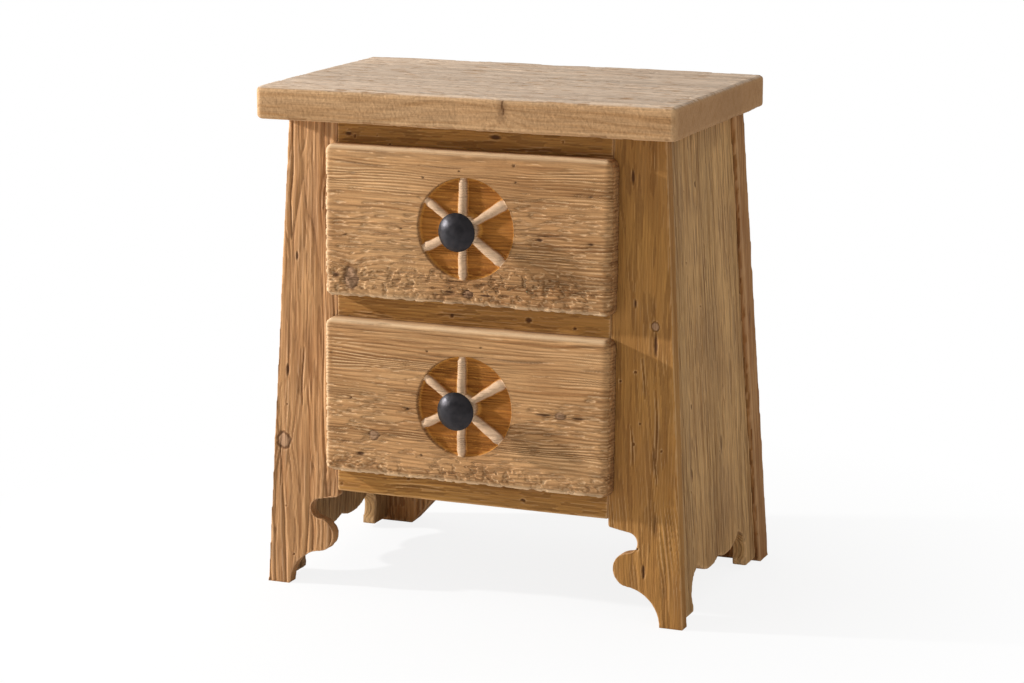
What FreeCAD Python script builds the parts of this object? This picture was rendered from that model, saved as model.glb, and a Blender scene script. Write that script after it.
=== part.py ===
import FreeCAD, Part
import math
import os

# Rustic two-drawer nightstand in old spruce. Millimetres, +Z up, the drawers open towards -Y.
# The carcass is a trapezoid: its sides splay outwards, its front leans a little forward at the
# foot and its back leans further out. Heights are measured up from the floor.

# overall sizes
top_length = 500.0
top_depth = 316.0
top_thickness = 39.0
total_height = 587.0
body_top_width = 454.0
front_overhang = 37.0
back_overhang = 4.0

# how the four sides of the carcass lean, in degrees
side_splay = 3.1
front_lean = 1.5
back_lean = 3.65

# front frame
frame_thickness = 18.0
stile_top_width = 61.0
bottom_rail_low = 118.0
bottom_rail_height = 35.0
lower_opening_height = 164.0
middle_rail_height = 40.0
top_rail_height = 32.0

# back frame and its boards
back_thickness = 34.0
back_board_thickness = 12.0
back_board_count = 4
back_board_gap = 0.6
back_foot_width = 54.0
back_foot_rise = 40.0

# side panels
panel_thickness = 18.0
panel_inset = 5.0
panel_foot_lift = 5.0
panel_front_foot = 40.0
panel_back_foot = 40.0
cove_radius = 27.0
cove_start_angle = 30.0
cove_centre_height = 25.0
lobe_low_height = 38.5
lobe_dip_height = 44.5
lobe_low_share = 0.36

# scroll cut into each front foot, placed from the stile's inner edge and from the floor
foot_width = 28.5
lobe_offset = 25.5
lobe_height = 62.0
lobe_radius = 19.5
notch_offset = 23.0
notch_height = 93.3
shoulder_height = 108.6
shoulder_round = 4.0

# top slab and its cleats
top_round = 6.0
cleat_height = 24.0
block_side_gap = 2.0
corner_block_low = 162.0
corner_block_gap = 4.0

# drawer carriage: runner below, guide beside, kicker above
runner_height = 20.0
runner_reach_in = 40.0
runner_dowel_inset = 8.0
guide_width = 14.0
guide_height = 25.0

# drawers
front_thickness = 20.0
front_lap_side = 8.0
front_lap_low = 8.0
front_lap_high = 7.0
front_corner_round = 6.0
front_edge_round = 4.0
box_rear_gap = 8.0
box_side_thickness = 14.0
box_back_thickness = 12.0
box_top_gap = 6.0
box_back_drop = 8.0
bottom_thickness = 5.0
bottom_lift = 12.0
groove_depth = 5.0

# carved rosette and knob
rosette_diameter = 115.0
rosette_depth = 7.0
spoke_count = 6
spoke_width = 9.0
hub_diameter = 30.0
knob_diameter = 44.0
knob_stem_diameter = 14.0
knob_base_diameter = 21.0
knob_base_thickness = 2.0
knob_back_reach = 18.0
knob_rim_reach = 24.0
knob_reach = 34.0
knob_hole_depth = 14.0
knob_shoulder_share = 0.93

# fasteners
dowel_diameter = 8.0
dowel_length = 40.0
box_dowel_length = 24.0
screw_diameter = 4.0
screw_head_diameter = 8.0
screw_head_height = 2.5
top_screw_length = 42.0
guide_screw_length = 36.0
board_screw_length = 28.0
back_screw_length = 34.0
bottom_screw_length = 24.0

# where fasteners sit, as shares of the length that they are spread over
rail_dowel_shares = (0.3, 0.7)
guide_screw_shares = (0.2, 0.8)
top_screw_shares = (0.15, 0.5, 0.85)
box_fastener_shares = (0.3, 0.8)

# clearances
fit_gap = 0.1
running_gap = 0.3
side_gap = 1.5
edge_sink = 0.5
trim_surplus = 4.0

# values worked out from the sizes above
body_height = total_height - top_thickness
splay_slope = math.tan(math.radians(side_splay))
front_slope = math.tan(math.radians(front_lean))
back_slope = math.tan(math.radians(back_lean))
front_floor_y = -top_depth / 2 + front_overhang - body_height * front_slope
back_floor_y = top_depth / 2 - back_overhang + body_height * back_slope
opening_half = body_top_width / 2 - stile_top_width
lower_opening_low = bottom_rail_low + bottom_rail_height
lower_opening_high = lower_opening_low + lower_opening_height
upper_opening_low = lower_opening_high + middle_rail_height
upper_opening_high = body_height - top_rail_height
runner_outer = opening_half + guide_width
block_width = body_top_width / 2 - panel_inset - panel_thickness - runner_outer - block_side_gap
far = 1000.0

origin = FreeCAD.Vector(0, 0, 0)
axis_x = FreeCAD.Vector(1, 0, 0)
axis_y = FreeCAD.Vector(0, 1, 0)
axis_z = FreeCAD.Vector(0, 0, 1)

parts = {}


def half_width(z):
    """Half the carcass width at height z."""
    return body_top_width / 2 + (body_height - z) * splay_slope


def panel_inner(z):
    """Distance of a side panel's inner face from the middle plane at height z."""
    return half_width(z) - panel_inset - panel_thickness


def frame_back(z):
    """Y of the front frame's rear face at height z."""
    return front_floor_y + z * front_slope + frame_thickness / math.cos(math.radians(front_lean))


def back_face(z):
    """Y of the back frame's inner face at height z."""
    return back_floor_y - z * back_slope - back_thickness / math.cos(math.radians(back_lean))


def block(x0, x1, y0, y1, z0, z1):
    return Part.makeBox(x1 - x0, y1 - y0, z1 - z0, FreeCAD.Vector(x0, y0, z0))


def cylinder(radius, length, start, direction):
    return Part.makeCylinder(radius, length, start, direction)


def prism_x(points, x0, x1):
    """A prism along X from (y, z) corners."""
    corners = [FreeCAD.Vector(x0, y, z) for y, z in points]
    outline = Part.makePolygon(corners + corners[:1])
    return Part.Face(outline).extrude(FreeCAD.Vector(x1 - x0, 0, 0))


def prism_y(points, y0, y1):
    """A prism along Y from (x, z) corners."""
    corners = [FreeCAD.Vector(x, y0, z) for x, z in points]
    outline = Part.makePolygon(corners + corners[:1])
    return Part.Face(outline).extrude(FreeCAD.Vector(0, y1 - y0, 0))


def mirrored(shape):
    return shape.mirror(origin, axis_x)


def lean_front(shape):
    """Stand a piece made upright, with its face at y = 0, on the leaning front plane."""
    placed = shape.copy()
    placed.rotate(origin, axis_x, -front_lean)
    placed.translate(FreeCAD.Vector(0, front_floor_y, 0))
    return placed


def lean_back(shape):
    """Stand a piece made upright, with its rear face at y = 0, on the leaning back plane."""
    placed = shape.copy()
    placed.rotate(origin, axis_x, back_lean)
    placed.translate(FreeCAD.Vector(0, back_floor_y, 0))
    return placed


def level_trim(shape):
    """Cut a leaning piece level at the floor and under the top slab."""
    return shape.common(block(-far, far, -far, far, 0, body_height))


def between_frames(x0, x1, z0, z1):
    """A bar that fills the depth between the front frame and the back frame."""
    corners = [(frame_back(z0), z0), (back_face(z0), z0), (back_face(z1), z1), (frame_back(z1), z1)]
    return prism_x(corners, x0, x1)


def beside_panel(z0, z1):
    """An upright slice, one block wide, against the right side panel's inner face."""
    outer_low = panel_inner(z0)
    outer_high = panel_inner(z1)
    inner_low = outer_low - block_width
    inner_high = outer_high - block_width
    corners = [(inner_low, z0), (outer_low, z0), (outer_high, z1), (inner_high, z1)]
    return prism_y(corners, -far, far)


def single(shape):
    """The one solid that a cut or a common leaves."""
    solids = sorted(shape.Solids, key=lambda solid: solid.Volume)
    return solids[-1]


def add(name, shape):
    parts[name] = single(shape)


def add_pair(name, shape):
    """The right piece and its mirror image on the left."""
    add(name + "_right", shape)
    add(name + "_left", mirrored(shape))


def bore(names, hole):
    for name in names:
        parts[name] = single(parts[name].cut(hole))


def dowel(centre, direction, length, names):
    """A dowel about its centre, with its hole bored in the pieces that it joins."""
    start = centre - direction * (length / 2)
    radius = dowel_diameter / 2
    hole_start = start - direction * edge_sink
    bore(names, cylinder(radius + fit_gap, length + 2 * edge_sink, hole_start, direction))
    return cylinder(radius, length, start, direction)


def screw(head_point, direction, length, names):
    """A countersunk wood screw, driven from head_point, with its hole in the pieces it joins."""
    rim = screw_head_diameter / 2
    core = screw_diameter / 2
    sink = screw_head_height + fit_gap
    shank = cylinder(core, length, head_point, direction)
    head = Part.makeCone(rim, core, screw_head_height, head_point, direction)
    wide_head = Part.makeCone(rim + fit_gap, core + fit_gap, sink, head_point, direction)
    hole = cylinder(core + fit_gap, length + edge_sink, head_point, direction)
    bore(names, hole.fuse(wide_head))
    return shank.fuse(head)


def add_group(name, solids):
    parts[name] = Part.makeCompound(solids)


def arc(first, through, last):
    return Part.Arc(first, through, last).toShape()


def line(first, last):
    return Part.makeLine(first, last)


# top slab

def make_top():
    slab = block(-top_length / 2, top_length / 2, -top_depth / 2, top_depth / 2, body_height, total_height)
    add("top_slab", slab.makeFillet(top_round, slab.Edges))


# front frame

def polar(centre_x, centre_z, radius, degrees):
    angle = math.radians(degrees)
    return FreeCAD.Vector(centre_x + radius * math.cos(angle), 0, centre_z + radius * math.sin(angle))


def make_front_stiles():
    """Tapered stiles whose feet carry a scroll: shoulder, notch, lobe and cove in tangent arcs."""
    lobe_x = opening_half + lobe_offset
    notch_x = opening_half + notch_offset
    spread = math.hypot(lobe_x - notch_x, notch_height - lobe_height)
    notch_radius = spread - lobe_radius
    notch_turn = math.degrees(math.atan2(lobe_height - notch_height, lobe_x - notch_x))
    foot_x = half_width(0) - foot_width
    # the cove is centred on the floor, touches the lobe and ends at the foot's inner corner
    reach = foot_x + lobe_radius
    cove_x = (reach ** 2 - lobe_x ** 2 - lobe_height ** 2) / (2 * (reach - lobe_x))
    cove_size = foot_x - cove_x
    cove_turn = math.degrees(math.atan2(lobe_height, lobe_x - cove_x))
    below = -trim_surplus
    above = body_height + trim_surplus

    round_x = opening_half + shoulder_round
    round_z = shoulder_height + shoulder_round
    shoulder_top = FreeCAD.Vector(opening_half, 0, round_z)
    shoulder_mid = polar(round_x, round_z, shoulder_round, 225)
    shoulder_end = FreeCAD.Vector(round_x, 0, shoulder_height)
    notch_start = polar(notch_x, notch_height, notch_radius, 90)
    notch_mid = polar(notch_x, notch_height, notch_radius, 0)
    notch_end = polar(notch_x, notch_height, notch_radius, notch_turn)
    lobe_mid = polar(lobe_x, lobe_height, lobe_radius, 180)
    lobe_end = polar(lobe_x, lobe_height, lobe_radius, 180 + cove_turn)
    cove_mid = polar(cove_x, 0, cove_size, cove_turn / 2)
    foot_inner = FreeCAD.Vector(foot_x, 0, 0)
    foot_low = FreeCAD.Vector(foot_x, 0, below)
    outer_low = FreeCAD.Vector(half_width(below), 0, below)
    outer_high = FreeCAD.Vector(half_width(above), 0, above)
    inner_high = FreeCAD.Vector(opening_half, 0, above)
    edges = [
        line(inner_high, shoulder_top),
        arc(shoulder_top, shoulder_mid, shoulder_end),
        line(shoulder_end, notch_start),
        arc(notch_start, notch_mid, notch_end),
        arc(notch_end, lobe_mid, lobe_end),
        arc(lobe_end, cove_mid, foot_inner),
        line(foot_inner, foot_low),
        line(foot_low, outer_low),
        line(outer_low, outer_high),
        line(outer_high, inner_high),
    ]
    stile = Part.Face(Part.Wire(edges)).extrude(FreeCAD.Vector(0, frame_thickness, 0))
    add_pair("front_stile", level_trim(lean_front(stile)))


def frame_rail(z0, z1, y0, y1):
    return block(-opening_half, opening_half, y0, y1, z0, z1)


rail_spans = {
    "bottom": (bottom_rail_low, lower_opening_low),
    "middle": (lower_opening_high, upper_opening_low),
    "top": (upper_opening_high, body_height),
}


def make_front_rails():
    for level, (low, high) in rail_spans.items():
        reach = high + trim_surplus if level == "top" else high
        rail = frame_rail(low, reach, 0, frame_thickness)
        add("front_" + level + "_rail", level_trim(lean_front(rail)))


def rail_dowels(frame, depth, lean):
    """Two dowels at each end of each rail, at the middle of the rail's thickness."""
    dowels = []
    for level, (low, high) in rail_spans.items():
        for share in rail_dowel_shares:
            height = low + (high - low) * share
            for sign, side in ((1, "right"), (-1, "left")):
                centre = lean(Part.Vertex(sign * opening_half, depth, height)).Point
                names = [frame + "_" + level + "_rail", frame + "_stile_" + side]
                dowels.append(dowel(centre, axis_x, dowel_length, names))
    return dowels


# side panels

def make_side_panels():
    """Splayed panels between the stiles, with a scalloped lower edge of two lobes between coves."""
    front_foot = frame_back(0) + panel_front_foot
    back_foot = back_face(0) - panel_back_foot
    middle = (front_foot + back_foot) / 2
    cove_reach = cove_radius * math.cos(math.radians(cove_start_angle))
    rise = cove_centre_height - cove_radius * math.sin(math.radians(cove_start_angle))
    cove_top = cove_centre_height + cove_radius
    apex = middle - front_foot - cove_reach

    def point(y, z):
        return FreeCAD.Vector(0, y, z)

    edges = []
    for sign, toe in ((-1, front_foot), (1, back_foot)):
        heel = point(toe, panel_foot_lift)
        toe_top = point(toe, rise)
        deepest = point(toe - sign * (cove_reach - cove_radius), cove_centre_height)
        cove_end = point(middle + sign * apex, cove_top)
        lobe_low = point(middle + sign * apex * lobe_low_share, lobe_low_height)
        dip = point(middle, lobe_dip_height)
        edges.append(line(heel, toe_top))
        edges.append(arc(toe_top, deepest, cove_end))
        edges.append(arc(cove_end, lobe_low, dip))
    front_low = point(frame_back(panel_foot_lift), panel_foot_lift)
    back_low = point(back_face(panel_foot_lift), panel_foot_lift)
    front_high = point(frame_back(body_height), body_height)
    back_high = point(back_face(body_height), body_height)
    edges.append(line(front_low, point(front_foot, panel_foot_lift)))
    edges.append(line(back_low, point(back_foot, panel_foot_lift)))
    edges.append(line(front_low, front_high))
    edges.append(line(back_low, back_high))
    edges.append(line(front_high, back_high))
    outline = Part.Wire(Part.__sortEdges__(edges))
    sheet = Part.Face(outline).extrude(FreeCAD.Vector(far, 0, 0))
    board = prism_y([(panel_inner(0), 0), (panel_inner(0) + panel_thickness, 0),
                     (panel_inner(body_height) + panel_thickness, body_height),
                     (panel_inner(body_height), body_height)], -far, far)
    add_pair("side_panel", sheet.common(board))


# back frame

def make_back_frame():
    """Back stiles with a plain raked foot, three rails, and upright boards behind the rails."""
    below = -trim_surplus
    above = body_height + trim_surplus
    foot_x = half_width(0) - back_foot_width
    corners = [(opening_half, above), (opening_half, back_foot_rise), (foot_x, 0), (foot_x, below),
               (half_width(below), below), (half_width(above), above)]
    stile = prism_y(corners, -back_thickness, 0)
    add_pair("back_stile", level_trim(lean_back(stile)))
    for level, (low, high) in rail_spans.items():
        reach = above if level == "top" else high
        rail = frame_rail(low, reach, -back_thickness, -back_board_thickness)
        add("back_" + level + "_rail", level_trim(lean_back(rail)))
    pitch = (2 * opening_half + back_board_gap) / back_board_count
    for index in range(back_board_count):
        left = -opening_half + index * pitch
        right = left + pitch - back_board_gap
        board = block(left, right, -back_board_thickness, 0, bottom_rail_low, above)
        add("back_board_" + str(index + 1), level_trim(lean_back(board)))


def make_back_screws():
    """Each back board is screwed to the three rails."""
    inward = lean_back(Part.Vertex(0, -1, 0)).Point - lean_back(Part.Vertex(0, 0, 0)).Point
    pitch = (2 * opening_half + back_board_gap) / back_board_count
    screws = []
    for index in range(back_board_count):
        x = -opening_half + (index + 0.5) * pitch - back_board_gap / 2
        for level, (low, high) in rail_spans.items():
            head = lean_back(Part.Vertex(x, 0, (low + high) / 2)).Point
            names = ["back_board_" + str(index + 1), "back_" + level + "_rail"]
            screws.append(screw(head, inward, board_screw_length, names))
    add_group("back_board_screws", screws)


# inside of the carcass

def make_carriage():
    """Runner, guide and kicker on each side of each drawer, between the two frames."""
    levels = {
        "lower": (lower_opening_low, lower_opening_high),
        "upper": (upper_opening_low, upper_opening_high),
    }
    inner = opening_half - runner_reach_in
    runner_dowels = []
    guide_screws = []
    for level, (low, high) in levels.items():
        add_pair(level + "_runner", between_frames(inner, runner_outer, low - runner_height, low))
        add_pair(level + "_guide", between_frames(opening_half, runner_outer, low, low + guide_height))
        top = high + middle_rail_height - runner_height
        add_pair(level + "_kicker", between_frames(inner, runner_outer, high, top))
        rail = "bottom" if level == "lower" else "middle"
        middle_z = low - runner_height / 2
        dowel_x = inner + runner_dowel_inset
        for sign, side in ((1, "right"), (-1, "left")):
            runner = level + "_runner_" + side
            for y, frame in ((frame_back(middle_z), "front"), (back_face(middle_z), "back")):
                centre = FreeCAD.Vector(sign * dowel_x, y, middle_z)
                names = [runner, frame + "_" + rail + "_rail"]
                runner_dowels.append(dowel(centre, axis_y, box_dowel_length, names))
            depth = back_face(low) - frame_back(low)
            for share in guide_screw_shares:
                x = sign * (opening_half + runner_outer) / 2
                head = FreeCAD.Vector(x, frame_back(low) + depth * share, low + guide_height)
                names = [level + "_guide_" + side, runner]
                guide_screws.append(screw(head, -axis_z, guide_screw_length, names))
    add_group("runner_dowels", runner_dowels)
    add_group("guide_screws", guide_screws)


def make_cleats():
    """Cleats that hold the top slab, screwed up into it from below."""
    low = body_height - cleat_height
    strip = between_frames(0, far, low, body_height)
    add_pair("top_cleat", strip.common(beside_panel(low, body_height)))
    depth = back_face(body_height) - frame_back(body_height)
    screws = []
    for sign, side in ((1, "right"), (-1, "left")):
        for share in top_screw_shares:
            x = sign * (panel_inner(body_height) - block_width / 2)
            head = FreeCAD.Vector(x, frame_back(body_height) + depth * share, low)
            screws.append(screw(head, axis_z, top_screw_length, ["top_cleat_" + side, "top_slab"]))
    add_group("top_screws", screws)


def make_corner_blocks():
    """Glue blocks in the four upright corners, between each stile and its side panel."""
    low = corner_block_low
    high = body_height - cleat_height - corner_block_gap
    slice_right = beside_panel(low, high)
    for place, face, depth in (("front", frame_back, block_width), ("back", back_face, -block_width)):
        corners = [(face(low), low), (face(low) + depth, low),
                   (face(high) + depth, high), (face(high), high)]
        add_pair(place + "_corner_block", prism_x(corners, 0, far).common(slice_right))


# drawers

def rosette_cutter(height):
    """The recess round the knob: a shallow disc less six spokes and the hub."""
    face = FreeCAD.Vector(0, -front_thickness, height)
    disc = cylinder(rosette_diameter / 2, rosette_depth, face, axis_y)
    kept = cylinder(hub_diameter / 2, rosette_depth, face, axis_y)
    for index in range(spoke_count):
        spoke = block(-spoke_width / 2, spoke_width / 2, -front_thickness, -front_thickness + rosette_depth,
                      height, height + rosette_diameter)
        spoke.rotate(face, axis_y, index * 360.0 / spoke_count)
        kept = kept.fuse(spoke)
    return disc.cut(kept)


def make_knob(height):
    """A domed iron knob on a turned stem, on the axis through the rosette's middle."""
    face = -front_thickness
    stem = knob_stem_diameter / 2
    base = knob_base_diameter / 2
    rim = knob_diameter / 2

    def point(radius, reach):
        return FreeCAD.Vector(radius, face - reach, height)

    rise = knob_reach - knob_rim_reach
    dome_radius = (rim ** 2 + rise ** 2) / (2 * rise)
    dome_mid = point(rim / 2, knob_reach - dome_radius + math.sqrt(dome_radius ** 2 - (rim / 2) ** 2))
    back_round = point(rim * knob_shoulder_share, (knob_back_reach + knob_rim_reach) / 2)
    neck = (knob_base_thickness + knob_back_reach) / 2
    hole = screw_diameter / 2 + fit_gap
    edges = [
        line(point(hole, 0), point(base, 0)),
        line(point(base, 0), point(base, knob_base_thickness)),
        arc(point(base, knob_base_thickness), point(stem, neck), point(base, knob_back_reach)),
        arc(point(base, knob_back_reach), back_round, point(rim, knob_rim_reach)),
        arc(point(rim, knob_rim_reach), dome_mid, point(0, knob_reach)),
        line(point(0, knob_reach), point(0, knob_hole_depth)),
        line(point(0, knob_hole_depth), point(hole, knob_hole_depth)),
        line(point(hole, knob_hole_depth), point(hole, 0)),
    ]
    return Part.Face(Part.Wire(edges)).revolve(FreeCAD.Vector(0, face, height), axis_y, 360)


def make_knob_screw(height):
    back = FreeCAD.Vector(0, 0, height)
    length = front_thickness + knob_hole_depth - edge_sink * 2
    shank = cylinder(screw_diameter / 2, length, back, -axis_y)
    head = cylinder(screw_head_diameter / 2, screw_head_height, back, axis_y)
    return shank.fuse(head)


def make_drawer(level, low, high):
    """One drawer: overlay front with rosette and knob, two sides, a back and a grooved-in bottom."""
    front_low = low - front_lap_low
    front_high = high + front_lap_high
    front_half = opening_half + front_lap_side
    middle = (front_low + front_high) / 2
    board = block(-front_half, front_half, -front_thickness, 0, front_low, front_high)
    corners = [edge for edge in board.Edges if edge.BoundBox.YLength > front_thickness / 2]
    board = board.makeFillet(front_corner_round, corners)
    rim = [edge for edge in board.Edges if edge.BoundBox.YMax < -front_thickness + fit_gap]
    board = board.makeFillet(front_edge_round, rim)
    board = board.cut(rosette_cutter(middle))
    rear_middle = FreeCAD.Vector(0, 0, middle)
    board = board.cut(cylinder(screw_diameter / 2 + fit_gap, front_thickness, rear_middle, -axis_y))

    def on_front(shape):
        placed = lean_front(shape)
        placed.translate(FreeCAD.Vector(0, -running_gap, 0))
        return placed

    add(level + "_drawer_front", on_front(board))
    add(level + "_knob", on_front(make_knob(middle)))
    add(level + "_knob_screw", on_front(make_knob_screw(middle)))

    def rear_of_front(z):
        return front_floor_y - running_gap + z * front_slope

    box_low = low + running_gap
    box_high = high - box_top_gap
    outer = opening_half - side_gap
    inner = outer - box_side_thickness
    end = back_face(high) - box_rear_gap
    side_corners = [(rear_of_front(box_low), box_low), (end, box_low), (end, box_high),
                    (rear_of_front(box_high), box_high)]
    add_pair(level + "_drawer_side", prism_x(side_corners, inner, outer))
    floor_low = box_low + bottom_lift
    floor_high = floor_low + bottom_thickness
    back_y = end - box_back_thickness
    back_high = box_high - box_back_drop
    add(level + "_drawer_back", block(-inner, inner, back_y, end, floor_high, back_high))

    # the bottom slides in from behind, in grooves in the sides and the front
    floor_half = inner + groove_depth
    floor_front = rear_of_front(floor_low) - groove_depth
    bottom_half = floor_half - fit_gap
    bottom = block(-bottom_half, bottom_half, floor_front + fit_gap, end, floor_low, floor_high)
    groove = block(-floor_half, floor_half, floor_front, end, floor_low, floor_high)
    names = [level + "_drawer_" + piece for piece in ("front", "side_right", "side_left")]
    bore(names, groove)
    add(level + "_drawer_bottom", bottom)

    fasteners = []
    for sign, side in ((1, "right"), (-1, "left")):
        side_name = level + "_drawer_side_" + side
        x = sign * (inner + outer) / 2
        for share in box_fastener_shares:
            z = box_low + (box_high - box_low) * share
            centre = FreeCAD.Vector(x, rear_of_front(z), z)
            front_names = [side_name, level + "_drawer_front"]
            fasteners.append(dowel(centre, axis_y, box_dowel_length, front_names))
            z = floor_high + (back_high - floor_high) * share
            head = FreeCAD.Vector(sign * outer, (back_y + end) / 2, z)
            back_names = [side_name, level + "_drawer_back"]
            fasteners.append(screw(head, axis_x * -sign, back_screw_length, back_names))
        head = FreeCAD.Vector(sign * inner / 2, (back_y + end) / 2, floor_low)
        bottom_names = [level + "_drawer_bottom", level + "_drawer_back"]
        fasteners.append(screw(head, axis_z, bottom_screw_length, bottom_names))
    add_group(level + "_drawer_fasteners", fasteners)


# assembly

make_top()
make_front_stiles()
make_front_rails()
make_side_panels()
make_back_frame()
front_dowels = rail_dowels("front", frame_thickness / 2, lean_front)
add_group("front_frame_dowels", front_dowels)
back_dowels = rail_dowels("back", -(back_thickness + back_board_thickness) / 2, lean_back)
add_group("back_frame_dowels", back_dowels)
make_back_screws()
make_carriage()
make_cleats()
make_corner_blocks()
make_drawer("lower", lower_opening_low, lower_opening_high)
make_drawer("upper", upper_opening_low, upper_opening_high)

# the origin is the middle of the whole piece's footprint, on the floor
whole = Part.makeCompound(list(parts.values())).optimalBoundingBox()
centring = FreeCAD.Vector(0, -(whole.YMin + whole.YMax) / 2, 0)
os.makedirs("parts", exist_ok=True)
for name, shape in parts.items():
    shape.translate(centring)
    shape.exportStep("parts/" + name + ".step")
print("moved by", round(centring.y, 4), "nodes", len(parts))
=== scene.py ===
import math

import bpy
import numpy as np
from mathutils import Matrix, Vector


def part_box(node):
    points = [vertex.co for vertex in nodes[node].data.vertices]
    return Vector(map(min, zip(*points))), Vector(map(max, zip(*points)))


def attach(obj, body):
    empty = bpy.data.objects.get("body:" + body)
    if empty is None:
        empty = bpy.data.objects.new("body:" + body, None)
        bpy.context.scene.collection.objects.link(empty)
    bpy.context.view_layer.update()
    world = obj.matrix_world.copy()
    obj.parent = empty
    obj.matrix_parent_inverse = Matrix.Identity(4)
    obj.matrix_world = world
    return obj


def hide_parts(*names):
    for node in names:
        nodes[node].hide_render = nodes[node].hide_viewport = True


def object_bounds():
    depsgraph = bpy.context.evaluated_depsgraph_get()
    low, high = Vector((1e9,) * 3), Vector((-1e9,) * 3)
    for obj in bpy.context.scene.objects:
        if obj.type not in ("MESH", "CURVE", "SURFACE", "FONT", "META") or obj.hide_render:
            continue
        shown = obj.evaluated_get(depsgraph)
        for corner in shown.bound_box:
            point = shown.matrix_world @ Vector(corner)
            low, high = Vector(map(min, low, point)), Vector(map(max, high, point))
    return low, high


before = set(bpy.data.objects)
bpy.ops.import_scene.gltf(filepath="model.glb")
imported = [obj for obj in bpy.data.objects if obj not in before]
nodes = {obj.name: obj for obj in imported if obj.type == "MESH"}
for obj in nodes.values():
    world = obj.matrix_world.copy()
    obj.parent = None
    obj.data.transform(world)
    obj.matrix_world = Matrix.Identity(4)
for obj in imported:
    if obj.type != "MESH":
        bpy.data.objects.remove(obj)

# A rustic two-drawer nightstand in old spruce. Every board gets a worn, brushed or hewn surface.
# Lengths in the value lists are in millimetres and angles in degrees, unless a note says otherwise.

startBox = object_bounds()
mm = 0.001
made = set()           # the nodes that have a piece of their own
noiseSize = (97, 89)   # the noise repeats after this many squares


# smooth steps and noise for every surface

def smoothStep(low, high, x):
    t = np.clip((x - low) / (high - low), 0, 1)
    return t * t * (3 - 2 * t)


def valueNoise(x, y, seed):
    # smooth random hills and hollows from -1 to 1, one per unit square
    columns, rows = noiseSize
    table = np.random.default_rng(seed).random(noiseSize) * 2 - 1
    column = np.floor(x).astype(int)
    row = np.floor(y).astype(int)
    fx = x - column
    fy = y - row
    fx = fx * fx * (3 - 2 * fx)
    fy = fy * fy * (3 - 2 * fy)
    a = table[column % columns, row % rows]
    b = table[(column + 1) % columns, row % rows]
    c = table[column % columns, (row + 1) % rows]
    d = table[(column + 1) % columns, (row + 1) % rows]
    return (a * (1 - fx) + b * fx) * (1 - fy) + (c * (1 - fx) + d * fx) * fy


def fractalNoise(x, y, seed, octaves=3):
    total = np.zeros_like(x)
    for octave in range(octaves):
        total += valueNoise(x * 2 ** octave + octave * 7.3, y * 2 ** octave, seed + octave) * 0.5 ** octave
    return total


# how old wood wears: u runs along the grain and v across it, both in millimetres

def knotMarks(u, v, across, look, knots):
    # plugs and dark hearts, with the fibres parting round each knot; a hole's dark heart is partly painted
    # shade for a depth its dent doesn't have
    seed = look["seed"]
    plug = np.zeros_like(u)
    heartAndHoleShade = np.zeros_like(u)
    for knotU, knotV, halfU, halfV, kind in knots:
        reach = np.hypot((u - knotU) / halfU, (v - knotV) / halfV)
        reach = reach * (1 + 0.13 * valueNoise(u / 3.4 + 7, v / 2.6, seed + 5))
        parting = np.hypot((u - knotU) / (2.6 * halfU), (v - knotV) / (1.6 * halfV))
        across = across + (v - knotV) * 0.8 * np.exp(-parting ** 2)
        if kind == "plug":
            plug = np.maximum(plug, smoothStep(1.0, 0.86, reach))
            heartAndHoleShade = np.maximum(heartAndHoleShade, 0.7 * smoothStep(1.3, 1.05, reach) * smoothStep(0.74, 0.98, reach))
        elif kind == "hole":
            # a hole: a shallow dent with a dark heart, partly the wood's own dark and partly painted shade
            heartAndHoleShade = np.maximum(heartAndHoleShade, smoothStep(1.0, 0.4, reach))
        else:
            heartAndHoleShade = np.maximum(heartAndHoleShade, 0.45 * smoothStep(1.2, 0.2, reach))
    return across, plug, heartAndHoleShade


def ringPlaces(u, v, across, look):
    # counts the yearly rings across the board
    ring = across / look["ringWidth"] + 0.5 * fractalNoise(u / 90, v / 12, look["seed"] + 11, 2)
    return ring + look["ringSpread"] * valueNoise(u / 420, v / 17, look["seed"] + 13)


def brushedDepth(u, v, ring, fine, look):
    # the soft wood between the rings is brushed out, and more of it near the floor
    line = 0.5 + 0.5 * np.sin(ring * 2 * math.pi)
    brushed = (1 - line ** 1.5) * smoothStep(-0.6, 0.5, valueNoise(u / 75, v / 13, look["seed"] + 21))
    depth = look["brushDepth"] * (0.7 * brushed + 0.45 * fine)
    return depth * (1 + look["footBrush"] * smoothStep(150, 95, u))


def tornMarks(u, v, across, look):
    # short splinter marks with sharp ends, thickest below one line across the board
    seed = look["seed"]
    zone = smoothStep(14, -14, v - look["tornLine"] - 26 * fractalNoise(u / 85, v / 45, seed + 55, 2))
    patch = fractalNoise(u / look["tornLength"], across / look["tornWidth"], seed + 51, 2)
    patch = patch * (look["tornElsewhere"] + (1 - look["tornElsewhere"]) * zone)
    return smoothStep(look["tornStart"], look["tornStart"] + look["tornEdge"], patch)


def weatheredValleys(u, across, look):
    # narrow valleys and slits between rounded ridges, where the soft wood has weathered away
    seed = look["seed"]
    weave = valueNoise(u / look["ridgeLength"], across / look["ridgeWidth"], seed + 81)
    slit = valueNoise(u / 90, across / look["ridgeWidth"] * 1.9, seed + 83)
    valley = 1 - np.minimum(1, 2.4 * np.abs(weave)) ** 0.6
    return valley, 0.25 * smoothStep(0.16, 0.0, np.abs(slit))


def hewnBites(u, v, look):
    # a hewn ground of short bites beside each other, below one line across the board
    if look["biteDepth"] == 0:
        return np.zeros_like(u)
    edge = look["biteLine"] + 14 * fractalNoise(u / 60, v / 60, look["seed"] + 61, 2)
    ground = smoothStep(8, -14, v - edge)
    cells = fractalNoise(u / look["biteSize"], v / (look["biteSize"] * 0.7), look["seed"] + 71, 2)
    return ground * smoothStep(-0.05, 0.36, cells)


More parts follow.
